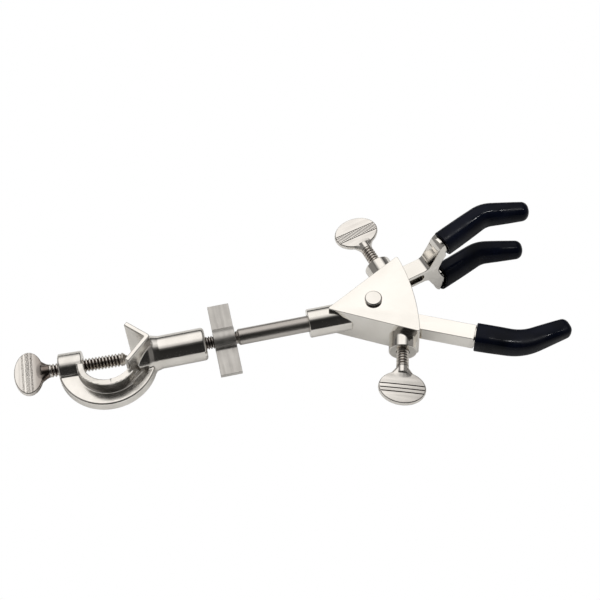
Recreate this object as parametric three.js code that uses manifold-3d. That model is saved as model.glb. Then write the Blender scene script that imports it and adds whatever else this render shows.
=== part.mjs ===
// Three finger laboratory clamp with a boss head and two independently adjusted jaw arms.
// Millimetres. +X runs along the rod from the boss head to the finger tips, +Z is the axis of
// the stand rod that the boss head grips, and the origin is the centre of that gripped rod.
import * as THREE from 'three';
import { mergeVertices } from 'three/addons/utils/BufferGeometryUtils.js';
import Module from 'manifold-3d';

const wasm = await Module();
wasm.setup();

// ---- driving dimensions -------------------------------------------------------------------
const GAP = 0.3;                    // clearance between neighbouring pieces
const OVERRUN = 1;                  // how far a cutting tool runs past the face it opens
const FINE = 32;                    // facets round a large cylinder
const COARSE = 20;                  // facets round a small one

const STAND_ROD_RADIUS = 6;         // rod that the V jaw is centred on
const JAW_HALF_HEIGHT = 16.8;       // V jaw, along the stand rod
const JAW_THICKNESS = 2.4;
const JAW_UPPER_LEG = 12;           // inner face, from the corner to the tip
const JAW_LOWER_LEG = 15;
const JAW_OUTER_ROUND = 1.2;        // rounding of the outer corner

const HOOK_CENTRE = new THREE.Vector2(-10.3, -3.6);   // C-shaped band from the jaw to the screw
const HOOK_RADIUS = 13.6;
const HOOK_THICKNESS = 3.1;
const HOOK_HALF_HEIGHT = 10.5;
const HOOK_HALF_HEIGHT_AT_BOSS = 7.2;
const WEB_CENTRE = new THREE.Vector2(-11.2, -1);      // stiffening rib outside the band
const WEB_RADIUS = 24;
const WEB_THICKNESS = 5.8;
const POCKET_DEPTH = 1.2;

const BARREL_RADIUS = 8.1;          // socket that takes the rod's threaded end
const BARREL_START = 3.5;
const BARREL_END = 37.2;
const BARREL_BORE_START = 18;
const BARREL_END_ROUND = 1.6;

const BOSS_SCREW_TILT = THREE.MathUtils.degToRad(2.2);  // leans towards the longer jaw leg
const BOSS_SCREW_RADIUS = 3.25;
const BOSS_SCREW_TIP = -1.5;        // where the screw's tip stands along its axis
const BOSS_SCREW_HEAD_EDGE = -42.2; // inner edge of its spade head
const SCREW_BOSS_RADIUS = 7.4;
const SCREW_BOSS_START = -34.6;
const SCREW_BOSS_END = -22.8;

const ROD_RADIUS = 4;
const ROD_THREAD_RADIUS = 3.2;
const ROD_THREAD_START = 22;
const ROD_SHOULDER = 53;

const NUT_START = 41.2;
const NUT_END = 51.8;
const NUT_HUB_RADIUS = 5.7;
const NUT_HALF_SPAN = 20.2;
const NUT_WING_THICKNESS = 2.2;

const PIVOT_X = 121;                // arm pivot, measured from the stand rod
const HOUSING_HALF_HEIGHT = 10.25;
const PLATE_THICKNESS = 2;
const WALL_THICKNESS = 1.6;
const HOUSING_BACK = -23;           // rear corner, measured from the pivot
const HOUSING_FRONT = 17.6;         // front corners
const HOUSING_HALF_WIDTH = 22.9;
const FRONT_SAGITTA = 2.3;
const CORNER_RADIUS = 1.6;
const COLLAR_START = -32.8;
const COLLAR_END = -12;
const COLLAR_RADIUS = 7.1;
const ROD_END = -17;                // rod's inner end, measured from the pivot
const CAVITY_BACK = -14.5;

const RIVET_RADIUS = 3;
const RIVET_HEAD_RADIUS = 4.25;
const RIVET_HEAD_HEIGHT = 1.7;
const SEAT_GAP = 0.1;
const SPACER_RADIUS = 5.2;

const ARM_WIDTH = 8.5;              // measured across the arm in the plane of the swing
const ARM_HALF_HEIGHT = 4.35;
const HUB_RADIUS = 6.2;
const LAP_GAP = 0.15;               // half the gap between the two lapped arm eyes
const LAP_CLEARANCE_RADIUS = 7;     // arms are full height only outside this radius
const SLEEVE_WALL = 1.5;
const MOUTH_FADE = 12;              // a leaning mouth is square to the finger again this far on

const ARM_SCREW_RADIUS = 3;
const ARM_SCREW_TILT = THREE.MathUtils.degToRad(15);
const ARM_SCREW_WALL_POINT = new THREE.Vector2(10.4, 18.8);   // axis meets the wall's outer face
const ARM_SCREW_HEAD_OFFSET = 23.3; // from the tip to the inner edge of the head
const ARM_BOSS_RADIUS = 6.8;
const ARM_BOSS_LENGTH = 7.8;
const SPIGOT_RADIUS = 2;            // turned-down end of a screw, set into its head
const SPIGOT_LENGTH = 2.8;

const SPRING_WIRE_RADIUS = 0.45;
const SPRING_COIL_RADIUS = 4.3;
const SPRING_LEG = 13;
const SPRING_START_ANGLE = THREE.MathUtils.degToRad(52);
const SPRING_END_ANGLE = THREE.MathUtils.degToRad(315 + 720);

// ---- materials ----------------------------------------------------------------------------
const metal = (color, roughness) => new THREE.MeshStandardMaterial({ color, roughness, metalness: 1 });
const nickel = metal(0xd6d1c8, 0.12);
const castNickel = metal(0xcfcac0, 0.2);
const steel = metal(0xb9b3ac, 0.3);
const dullNickel = metal(0xa8a49e, 0.45);
const springSteel = metal(0x8f8b86, 0.35);
const vinyl = new THREE.MeshStandardMaterial({ color: 0x0b0c12, roughness: 0.25, metalness: 0 });

// ---- solid helpers ------------------------------------------------------------------------
function solid(geometry) {
  const bare = geometry.clone();
  bare.deleteAttribute('normal');
  bare.deleteAttribute('uv');
  const merged = mergeVertices(bare, 1e-4);
  const corners = [];
  const index = merged.index.array;
  for (let i = 0; i < index.length; i += 3) {
    const [a, b, c] = [index[i], index[i + 1], index[i + 2]];
    if (a !== b && b !== c && c !== a) corners.push(a, b, c);
  }
  return new wasm.Manifold(new wasm.Mesh({
    numProp: 3,
    vertProperties: new Float32Array(merged.attributes.position.array),
    triVerts: new Uint32Array(corners),
  }));
}

const join = (first, ...rest) => rest.reduce((sum, piece) => sum.add(piece), first);
const cut = (first, ...rest) => rest.reduce((left, tool) => left.subtract(tool), first);

function named(name, shape, material) {
  const source = shape.getMesh();
  const geometry = new THREE.BufferGeometry();
  geometry.setAttribute('position', new THREE.BufferAttribute(source.vertProperties, 3));
  geometry.setIndex(new THREE.BufferAttribute(source.triVerts, 1));
  geometry.computeVertexNormals();
  const mesh = new THREE.Mesh(geometry, material);
  mesh.name = name;
  return mesh;
}

// A solid of revolution about X from [along, radius] stations.
function turned(stations, facets = FINE) {
  const profile = stations.map(([along, radius]) => new THREE.Vector2(radius, along));
  return solid(new THREE.LatheGeometry(profile, facets).rotateZ(-Math.PI / 2));
}

const pin = (start, end, radius, facets = COARSE) =>
  turned([[start, 0], [start, radius], [end, radius], [end, 0]], facets);

const chamferedPin = (start, end, radius, chamfer, facets = FINE) => turned([
  [start, 0], [start, radius - chamfer], [start + chamfer, radius],
  [end - chamfer, radius], [end, radius - chamfer], [end, 0],
], facets);

// A flat outline in the XY plane, extruded between two heights.
function slab(shape, low, high, curveSegments = 12) {
  const settings = { depth: high - low, bevelEnabled: false, curveSegments };
  return solid(new THREE.ExtrudeGeometry(shape, settings).translate(0, 0, low));
}

function outline(points) {
  return new THREE.Shape(points.map(([x, y]) => new THREE.Vector2(x, y)));
}

const column = (x, y, radius, low, high, facets = COARSE) =>
  solid(new THREE.CylinderGeometry(radius, radius, high - low, facets)
    .rotateX(Math.PI / 2).translate(x, y, (low + high) / 2));

// ---- fingers ------------------------------------------------------------------------------
// A finger bends once. Its section is a superellipse whose width lies in the plane of the swing.
// The bend is rounded over bendReach on either side of it.
function fingerPath(root, bend, tip, bendReach) {
  const into = bend.clone().sub(root).setLength(bendReach);
  const out = tip.clone().sub(bend).setLength(bendReach);
  const path = new THREE.CurvePath();
  path.add(new THREE.LineCurve3(root, bend.clone().sub(into)));
  path.add(new THREE.QuadraticBezierCurve3(bend.clone().sub(into), bend, bend.clone().add(out)));
  path.add(new THREE.LineCurve3(bend.clone().add(out), tip));
  return path;
}

// Its mouth leans back by a share of the distance above the middle of the section.
function finger(design, { inset, before, short }) {
  const { path, widths, heights, squareness, dome, lean } = design;
  const length = path.getLength();
  const end = length - short;
  const straight = 9;
  const domed = 4;
  const around = 16;
  const domeTurn = 0.92 * Math.PI / 2;
  const domeFullness = 0.75;
  const stations = [-before];
  for (let i = 0; i <= straight; i++) stations.push((i / straight) * (end - dome));
  const scales = stations.map(() => 1);
  for (let i = 1; i <= domed; i++) {
    const turn = (i / domed) * domeTurn;
    stations.push(end - dome + dome * Math.sin(turn));
    scales.push(Math.cos(turn) ** domeFullness);
  }
  const positions = [];
  stations.forEach((along, k) => {
    const share = THREE.MathUtils.clamp(along / length, 0, 1);
    const taper = share ** 2;
    const tangent = path.getTangentAt(share);
    const centre = path.getPointAt(share).addScaledVector(tangent, Math.min(along, 0));
    const side = new THREE.Vector3(tangent.y, -tangent.x, 0).normalize();
    const half = (sizes) => (THREE.MathUtils.lerp(sizes[0], sizes[1], taper) / 2 - inset) * scales[k];
    const leanHere = lean * THREE.MathUtils.clamp(1 - along / MOUTH_FADE, 0, 1);
    for (let i = 0; i < around; i++) {
      const angle = (i / around) * 2 * Math.PI;
      const bulge = (value) => Math.sign(value) * Math.abs(value) ** (2 / squareness);
      const rise = half(heights) * bulge(Math.sin(angle));
      const point = centre.clone().addScaledVector(side, half(widths) * bulge(Math.cos(angle)));
      point.addScaledVector(tangent, -leanHere * rise);
      point.z += rise;
      positions.push(point.x, point.y, point.z);
    }
  });
  const rings = stations.length;
  const index = [];
  for (let k = 0; k < rings - 1; k++) {
    for (let i = 0; i < around; i++) {
      const a = k * around + i;
      const b = k * around + (i + 1) % around;
      index.push(a, a + around, b, b, a + around, b + around);
    }
  }
  for (let i = 1; i < around - 1; i++) {
    const last = (rings - 1) * around;
    index.push(0, i, i + 1, last, last + i + 1, last + i);
  }
  const geometry = new THREE.BufferGeometry();
  geometry.setAttribute('position', new THREE.Float32BufferAttribute(positions, 3));
  geometry.setIndex(index);
  return solid(geometry);
}

const sleeveOf = (design) => cut(
  finger(design, { inset: 0, before: 0, short: 0 }),
  finger(design, { inset: SLEEVE_WALL, before: OVERRUN, short: SLEEVE_WALL }),
);

const coreOf = (design, before) =>
  finger(design, { inset: SLEEVE_WALL + GAP, before, short: SLEEVE_WALL + GAP });

// ---- boss head ----------------------------------------------------------------------------
const SLANT = Math.SQRT1_2;
const JAW_CORNER_X = STAND_ROD_RADIUS / SLANT;
const JAW_OUTER_X = JAW_CORNER_X + JAW_THICKNESS / SLANT;

function vJaw() {
  const upper = JAW_UPPER_LEG * SLANT;
  const lower = JAW_LOWER_LEG * SLANT;
  const step = JAW_THICKNESS * SLANT;
  const shape = outline([
    [JAW_CORNER_X - upper, upper],
    [JAW_CORNER_X, 0],
    [JAW_CORNER_X - lower, -lower],
    [JAW_CORNER_X - lower + step, -lower - step],
  ]);
  shape.lineTo(JAW_OUTER_X - JAW_OUTER_ROUND, -JAW_OUTER_ROUND);
  shape.quadraticCurveTo(JAW_OUTER_X, 0, JAW_OUTER_X - JAW_OUTER_ROUND, JAW_OUTER_ROUND);
  shape.lineTo(JAW_CORNER_X - upper + step, upper + step);
  return slab(shape, -JAW_HALF_HEIGHT, JAW_HALF_HEIGHT, 6);
}

// The band narrows along the stand rod from the jaw towards the screw boss.
function hookBand() {
  const start = THREE.MathUtils.degToRad(-42);
  const end = THREE.MathUtils.degToRad(-186);
  const shape = new THREE.Shape();
  shape.absarc(HOOK_CENTRE.x, HOOK_CENTRE.y, HOOK_RADIUS + HOOK_THICKNESS / 2, start, end, true);
  shape.absarc(HOOK_CENTRE.x, HOOK_CENTRE.y, HOOK_RADIUS - HOOK_THICKNESS / 2, end, start, false);
  const geometry = new THREE.ExtrudeGeometry(shape, { depth: 2, bevelEnabled: false, curveSegments: 18 });
  geometry.translate(0, 0, -1);
  const place = geometry.attributes.position;
  for (let i = 0; i < place.count; i++) {
    const drop = THREE.MathUtils.clamp((HOOK_CENTRE.y - place.getY(i)) / HOOK_RADIUS, 0, 1);
    const half = THREE.MathUtils.lerp(HOOK_HALF_HEIGHT_AT_BOSS, HOOK_HALF_HEIGHT, drop);
    place.setZ(i, Math.sign(place.getZ(i)) * (place.getX(i) > HOOK_CENTRE.x ? HOOK_HALF_HEIGHT : half));
  }
  return solid(geometry);
}

function web() {
  const shape = new THREE.Shape();
  const start = THREE.MathUtils.degToRad(-22);
  const end = THREE.MathUtils.degToRad(-170);
  shape.absarc(WEB_CENTRE.x, WEB_CENTRE.y, WEB_RADIUS, start, end, true);
  shape.lineTo(-30, -2);
  shape.absarc(HOOK_CENTRE.x, HOOK_CENTRE.y, HOOK_RADIUS, -Math.PI, THREE.MathUtils.degToRad(-40), false);
  shape.lineTo(JAW_CORNER_X, -1.6);
  const rim = 1.6;
  const half = WEB_THICKNESS / 2;
  const geometry = new THREE.ExtrudeGeometry(shape, {
    depth: WEB_THICKNESS - 2 * rim, bevelThickness: rim, bevelSize: rim, bevelOffset: -rim,
    bevelSegments: 2, curveSegments: 16,
  });
  return solid(geometry.translate(0, 0, rim - half));
}

// Shallow recesses on both faces of the web, beside the barrel.
function webPockets() {
  const shape = outline([[-1.4, -14.6], [1.2, -17.6], [6.4, -12.6], [8.4, -7.8], [5.8, -8.2]]);
  const half = WEB_THICKNESS / 2;
  return [
    slab(shape, half - POCKET_DEPTH, half + OVERRUN),
    slab(shape, -half - OVERRUN, POCKET_DEPTH - half),
  ];
}

const tilted = (shape) => shape.rotate([0, 0, -THREE.MathUtils.radToDeg(BOSS_SCREW_TILT)]);

function bossCasting() {
  const inside = outline([
    [JAW_CORNER_X, 0],
    [JAW_CORNER_X - 2 * BARREL_RADIUS, 2 * BARREL_RADIUS],
    [JAW_CORNER_X - 2 * BARREL_RADIUS, -2 * BARREL_RADIUS],
  ]);
  const halfwayRound = BARREL_END_ROUND * (1 - Math.SQRT1_2);
  const barrel = turned([
    [BARREL_START, 0], [BARREL_START, BARREL_RADIUS],
    [BARREL_END - BARREL_END_ROUND, BARREL_RADIUS],
    [BARREL_END - halfwayRound, BARREL_RADIUS - halfwayRound],
    [BARREL_END, BARREL_RADIUS - BARREL_END_ROUND], [BARREL_END, 0],
  ]);
  const jawRoom = slab(inside, -JAW_HALF_HEIGHT, JAW_HALF_HEIGHT);
  const screwBoss = tilted(chamferedPin(SCREW_BOSS_START, SCREW_BOSS_END, SCREW_BOSS_RADIUS, 0.8));
  const rodBore = pin(BARREL_BORE_START, BARREL_END + OVERRUN, ROD_THREAD_RADIUS + GAP);
  const screwBore = tilted(
    pin(SCREW_BOSS_START - OVERRUN, SCREW_BOSS_END + OVERRUN, BOSS_SCREW_RADIUS + GAP));
  const body = join(vJaw(), hookBand(), web(), cut(barrel, jawRoom), screwBoss);
  return cut(body, ...webPockets(), rodBore, screwBore);
}

// ---- thumb screws -------------------------------------------------------------------------
// Local frame: the screw's axis is X, the tip points to +X and the origin is the tip.
// A head fans out from its neck over fanReach, a share of its length.
function spadeHead({ width, length, thickness, innerEdge, neckRadius, fanReach }) {
  const centre = -innerEdge - length / 2;
  const shape = new THREE.Shape();
  shape.absellipse(centre, 0, length / 2, width / 2, 0, 2 * Math.PI, false);
  const rim = thickness * 0.28;
  const disc = solid(new THREE.ExtrudeGeometry(shape, {
    depth: thickness - 2 * rim, bevelThickness: rim, bevelSize: rim, bevelOffset: -rim,
    bevelSegments: 1, curveSegments: 18,
  }).translate(0, 0, rim - thickness / 2));
  const neckEnd = -innerEdge + SPIGOT_LENGTH;
  const fanStart = -innerEdge - length * fanReach;
  const fanHalf = width * 0.96 * Math.sqrt(fanReach - fanReach ** 2);
  const fan = new THREE.Shape();
  fan.moveTo(neckEnd, -neckRadius * 0.7);
  fan.quadraticCurveTo(-innerEdge, -neckRadius, fanStart, -fanHalf);
  fan.lineTo(fanStart, fanHalf);
  fan.quadraticCurveTo(-innerEdge, neckRadius, neckEnd, neckRadius * 0.7);
  const neck = turned([
    [-innerEdge - length * 0.34, 0], [-innerEdge - length * 0.34, neckRadius * 0.2],
    [-innerEdge - length * 0.14, neckRadius * 0.62], [-innerEdge, neckRadius * 0.96],
    [neckEnd, neckRadius], [neckEnd, 0],
  ], COARSE);
  const socket = pin(-innerEdge - GAP, neckEnd + OVERRUN, SPIGOT_RADIUS + GAP);
  return cut(join(disc, neck, slab(fan, -thickness * 0.36, thickness * 0.36, 6)), socket);
}

function shank(radius, innerEdge, tipStations) {
  const headEnd = -innerEdge;
  const shoulder = headEnd + SPIGOT_LENGTH + GAP;
  return turned([
    [headEnd, 0], [headEnd, SPIGOT_RADIUS], [shoulder, SPIGOT_RADIUS], [shoulder, radius],
    ...tipStations,
  ], COARSE);
}

const ballTip = (radius) => [0, 0.25, 0.5, 0.75, 1].map((share) => {
  const turn = share * Math.PI / 2;
  return [-radius + radius * Math.sin(turn), share === 1 ? 0 : radius * Math.cos(turn)];
});

function bossScrew() {
  const group = new THREE.Group();
  group.rotation.z = -BOSS_SCREW_TILT;
  const axis = new THREE.Group();
  axis.position.x = BOSS_SCREW_TIP;
  group.add(axis);
  const innerEdge = BOSS_SCREW_TIP - BOSS_SCREW_HEAD_EDGE;
  const tip = [[-2, BOSS_SCREW_RADIUS], [-0.6, 1.9], [0, 1.7], [0, 0]];
  axis.add(named('boss_screw_shank', shank(BOSS_SCREW_RADIUS, innerEdge, tip), nickel));
  axis.add(named('boss_screw_head', spadeHead({
    width: 23.8, length: 14.4, thickness: 3.4, innerEdge, neckRadius: 3.3, fanReach: 0.36,
  }), nickel));
  return group;
}

// depth is how far the tip stands inside the wall's outer face.
function armScrew(prefix, side, depth, spin) {
  const axis = new THREE.Group();
  const inward = new THREE.Vector2(Math.sin(ARM_SCREW_TILT), -Math.cos(ARM_SCREW_TILT));
  const tipPoint = ARM_SCREW_WALL_POINT.clone().addScaledVector(inward, depth);
  axis.position.set(tipPoint.x, side * tipPoint.y, 0);
  axis.rotation.z = -side * (Math.PI / 2 - ARM_SCREW_TILT);
  const turnedHead = new THREE.Group();
  turnedHead.rotation.x = spin;
  axis.add(turnedHead);
  const body = shank(ARM_SCREW_RADIUS, ARM_SCREW_HEAD_OFFSET, ballTip(ARM_SCREW_RADIUS));
  axis.add(named(`${prefix}_screw_shank`, body, nickel));
  turnedHead.add(named(`${prefix}_screw_head`, spadeHead({
    width: 23.1, length: 17.7, thickness: 3.2, innerEdge: ARM_SCREW_HEAD_OFFSET,
    neckRadius: 3, fanReach: 0.22,
  }), nickel));
  return axis;
}

// ---- rod and lock nut ---------------------------------------------------------------------
function rod() {
  const chamfer = 0.7;
  return turned([
    [ROD_THREAD_START, 0], [ROD_THREAD_START, ROD_THREAD_RADIUS - 0.6],
    [ROD_THREAD_START + 0.6, ROD_THREAD_RADIUS], [ROD_SHOULDER, ROD_THREAD_RADIUS],
    [ROD_SHOULDER, ROD_RADIUS - chamfer], [ROD_SHOULDER + chamfer, ROD_RADIUS],
    [PIVOT_X + ROD_END, ROD_RADIUS], [PIVOT_X + ROD_END, 0],
  ]);
}

function lockNut() {
  const width = NUT_END - NUT_START;
  const middle = (NUT_START + NUT_END) / 2;
  const wings = solid(new THREE.BoxGeometry(width, 2 * NUT_HALF_SPAN, NUT_WING_THICKNESS)
    .translate(middle, 0, 0));
  const hub = chamferedPin(NUT_START, NUT_END, NUT_HUB_RADIUS, 0.4);
  return cut(join(hub, wings), pin(NUT_START - OVERRUN, NUT_END + OVERRUN, ROD_THREAD_RADIUS + GAP));
}

// ---- jaw housing: measured from the pivot -------------------------------------------------
const WALL_ANGLE = Math.atan2(HOUSING_HALF_WIDTH, HOUSING_FRONT - HOUSING_BACK);

// Triangle with an arched front, moved in from its straight sides by inset.
function housingOutline(inset, frontOverrun = 0) {
  const back = HOUSING_BACK + inset / Math.sin(WALL_ANGLE);
  const front = HOUSING_FRONT + frontOverrun;
  const half = (front - back) * Math.tan(WALL_ANGLE);
  const bow = FRONT_SAGITTA * 2;
  const towards = new THREE.Vector2(Math.cos(WALL_ANGLE), Math.sin(WALL_ANGLE)).multiplyScalar(CORNER_RADIUS);
  const shape = new THREE.Shape();
  shape.moveTo(back + towards.x, towards.y);
  shape.lineTo(front - towards.x, half - towards.y);
  shape.quadraticCurveTo(front, half, front + 0.3, half - CORNER_RADIUS);
  shape.quadraticCurveTo(front + bow, 0, front + 0.3, CORNER_RADIUS - half);
  shape.quadraticCurveTo(front, -half, front - towards.x, towards.y - half);
  shape.lineTo(back + towards.x, -towards.y);
  shape.quadraticCurveTo(back, 0, back + towards.x, towards.y);
  return shape;
}

// A cylinder along an arm screw's axis, between two distances outside the wall.
function alongArmScrew(side, from, to, radius, facets) {
  const turn = side * (Math.PI / 2 + ARM_SCREW_TILT);
  return pin(from, to, radius, facets)
    .rotate([0, 0, THREE.MathUtils.radToDeg(turn)])
    .translate([ARM_SCREW_WALL_POINT.x, side * ARM_SCREW_WALL_POINT.y, 0]);
}

function housing() {
  const inner = HOUSING_HALF_HEIGHT - PLATE_THICKNESS;
  const shell = slab(housingOutline(0), -HOUSING_HALF_HEIGHT, HOUSING_HALF_HEIGHT, 10);
  const cavity = slab(housingOutline(WALL_THICKNESS, 12), -inner, inner, 10);
  const reach = 2 * HOUSING_HALF_WIDTH;
  const aheadOfCollar = solid(new THREE.BoxGeometry(2 * reach, 2 * reach, 2 * inner + 2 * OVERRUN)
    .translate(CAVITY_BACK + reach, 0, 0));
  const collar = pin(COLLAR_START, COLLAR_END, COLLAR_RADIUS, FINE);
  const bosses = [1, -1].map((side) => alongArmScrew(side, -2, ARM_BOSS_LENGTH, ARM_BOSS_RADIUS, FINE));
  const room = cavity.intersect(aheadOfCollar);
  const body = cut(join(shell, collar, ...bosses), room);
  const screwBores = [1, -1].map((side) =>
    alongArmScrew(side, -6, ARM_BOSS_LENGTH + OVERRUN, ARM_SCREW_RADIUS + GAP, COARSE));
  const rodSocket = pin(COLLAR_START - OVERRUN, ROD_END + GAP, ROD_RADIUS + GAP);
  const rivetHole = column(
    0, 0, RIVET_RADIUS + GAP, -HOUSING_HALF_HEIGHT - OVERRUN, HOUSING_HALF_HEIGHT + OVERRUN);
  return cut(body, ...screwBores, rodSocket, rivetHole);
}

function pivotRivet() {
  const seat = HOUSING_HALF_HEIGHT + SEAT_GAP;
  const top = seat + RIVET_HEAD_HEIGHT;
  const half = [
    [top, 0], [top, RIVET_HEAD_RADIUS - 0.9], [top - 0.5, RIVET_HEAD_RADIUS],
    [seat, RIVET_HEAD_RADIUS], [seat, RIVET_RADIUS],
  ];
  const mirrored = half.map(([along, radius]) => [-along, radius]);
  return turned([...mirrored, ...half.reverse()]).rotate([0, -90, 0]);
}

function pivotSpacer() {
  const low = PLATE_THICKNESS - HOUSING_HALF_HEIGHT + SEAT_GAP;
  const high = -ARM_HALF_HEIGHT - SEAT_GAP;
  const hole = column(0, 0, RIVET_RADIUS + GAP, low - OVERRUN, high + OVERRUN);
  return cut(column(0, 0, SPACER_RADIUS, low, high), hole);
}

// ---- arms: measured from the pivot --------------------------------------------------------
const hubRoom = (low, high) => column(0, 0, LAP_CLEARANCE_RADIUS, low, high);
const pivotHole = () =>
  column(0, 0, RIVET_RADIUS + GAP / 2, -ARM_HALF_HEIGHT - OVERRUN, ARM_HALF_HEIGHT + OVERRUN);

// The half of an arm that laps over the other arm's eye is cut away near the pivot.
function lapped(bar, eyeSide) {
  const eye = eyeSide > 0
    ? column(0, 0, HUB_RADIUS, LAP_GAP, ARM_HALF_HEIGHT)
    : column(0, 0, HUB_RADIUS, -ARM_HALF_HEIGHT, -LAP_GAP);
  const away = eyeSide > 0
    ? hubRoom(-ARM_HALF_HEIGHT - OVERRUN, LAP_GAP)
    : hubRoom(-LAP_GAP, ARM_HALF_HEIGHT + OVERRUN);
  return cut(join(eye, cut(bar, away)), pivotHole());
}

// Fork arm: a lever beside the housing wall, a stem and a flared plate that carries two prongs.
const STEM_ANGLE = THREE.MathUtils.degToRad(17);
const STEM_ORIGIN = new THREE.Vector2(20.2, 15.8);
const FORK_HALF_SPAN = 19;
const FORK_END = 19;                // flared plate's outer corners, along the stem
const FORK_CROTCH = 17;             // bottom of the gap between the prongs
const STOP_GAP = 0.25;              // lever to wall when the arm is fully open

const prongDesign = (side) => {
  const root = new THREE.Vector3(40.2, 21.85, side * 14.38);
  const bend = new THREE.Vector3(64.1, 33.3, side * 16);
  const tip = new THREE.Vector3(87, 30.5, side * 16.3);
  return {
    path: fingerPath(root, bend, tip, 4),
    widths: [11.6, 8.7],
    heights: [13.6, 8.6],
    squareness: 2.5,
    dome: 3.6,
    lean: side * 0.2,
  };
};

// Takes a slab drawn along and across the stem, raised towards its inner side, to its place.
const inStemFrame = (shape) => shape
  .rotate([90, 0, THREE.MathUtils.radToDeg(STEM_ANGLE)])
  .translate([STEM_ORIGIN.x, STEM_ORIGIN.y, 0]);

function forkLever() {
  const wallY = (x, off) => (x - HOUSING_BACK) * Math.tan(WALL_ANGLE) - off / Math.cos(WALL_ANGLE);
  const off = WALL_THICKNESS + STOP_GAP;
  const alongStem = (s, side) => [
    STEM_ORIGIN.x + s * Math.cos(STEM_ANGLE) - side * Math.sin(STEM_ANGLE) * ARM_WIDTH / 2,
    STEM_ORIGIN.y + s * Math.sin(STEM_ANGLE) + side * Math.cos(STEM_ANGLE) * ARM_WIDTH / 2,
  ];
  const meet = 13;
  const stemStart = -4;
  const stemEnd = FORK_CROTCH - 1;
  return slab(outline([
    [-4, 4.4], [4.5, wallY(4.5, off + 0.4)], [6, wallY(6, off)], [meet, wallY(meet, off)],
    alongStem(stemStart, 1), alongStem(stemEnd, 1),
    alongStem(stemEnd, -1), alongStem(stemStart, -1), [5.6, 3.4],
  ]), -ARM_HALF_HEIGHT, ARM_HALF_HEIGHT);
}

// Drawn along and across the stem: a ramp out from the stem, a knee, and the end under the sleeve.
function forkPlate() {
  const half = ARM_HALF_HEIGHT;
  const shape = new THREE.Shape();
  shape.moveTo(8.6, -half);
  shape.quadraticCurveTo(11.4, -half - 0.2, 12.3, -half - 2.5);
  shape.lineTo(15.4, -13.2);
  shape.quadraticCurveTo(16.8, -17.6, FORK_END, -FORK_HALF_SPAN);
  shape.lineTo(FORK_END + 2, -9.5);
  shape.quadraticCurveTo(FORK_CROTCH + 1, -5, FORK_CROTCH, 0);
  shape.quadraticCurveTo(FORK_CROTCH + 1, 5, FORK_END + 2, 9.5);
  shape.lineTo(FORK_END, FORK_HALF_SPAN);
  shape.quadraticCurveTo(16.8, 17.6, 15.4, 13.2);
  shape.lineTo(12.3, half + 2.5);
  shape.quadraticCurveTo(11.4, half + 0.2, 8.6, half);
  const plate = slab(shape, -ARM_WIDTH / 2, ARM_WIDTH / 2, 8);
  return inStemFrame(plate);
}

// Round-ended recess along the inner face of the stem.
function stemRecess() {
  const radius = 2.3;
  const start = -6;
  const end = 6.4;
  const depth = 4;
  const shape = new THREE.Shape();
  shape.moveTo(start, -radius);
  shape.lineTo(end, -radius);
  shape.absarc(end, 0, radius, -Math.PI / 2, Math.PI / 2, false);
  shape.lineTo(start, radius);
  return inStemFrame(slab(shape, ARM_WIDTH / 2 - depth, ARM_WIDTH / 2 + OVERRUN, 8));
}

function forkArm() {
  const body = cut(join(lapped(forkLever(), 1), forkPlate()), stemRecess());
  return join(body, ...[1, -1].map((side) => coreOf(prongDesign(side), 2)));
}

// Single arm: a straight bar from the pivot and one bent finger.
const BAR_START = new THREE.Vector2(19.8, -13.7);
const BAR_END = new THREE.Vector2(44.75, -25.85);

const fingerDesign = {
  path: fingerPath(
    new THREE.Vector3(BAR_END.x, BAR_END.y, 0),
    new THREE.Vector3(65.4, -35, 0),
    new THREE.Vector3(91, -30.3, 0),
    7,
  ),
  widths: [12.2, 8.6],
  heights: [12.2, 7.2],
  squareness: 3.4,
  dome: 3.4,
  lean: 0,
};

function singleArm() {
  const along = BAR_END.clone().sub(BAR_START).normalize();
  const across = new THREE.Vector2(-along.y, along.x).multiplyScalar(ARM_WIDTH / 2);
  const from = BAR_START.clone().addScaledVector(along, -20);
  const to = BAR_END.clone().addScaledVector(along, -GAP);
  const corners = [[from, 1], [from, -1], [to, -1], [to, 1]];
  const shape = outline(corners.map(([end, side]) => [end.x + side * across.x, end.y + side * across.y]));
  const bar = slab(shape, -ARM_HALF_HEIGHT, ARM_HALF_HEIGHT);
  return join(lapped(bar, -1), coreOf(fingerDesign, 3));
}

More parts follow.
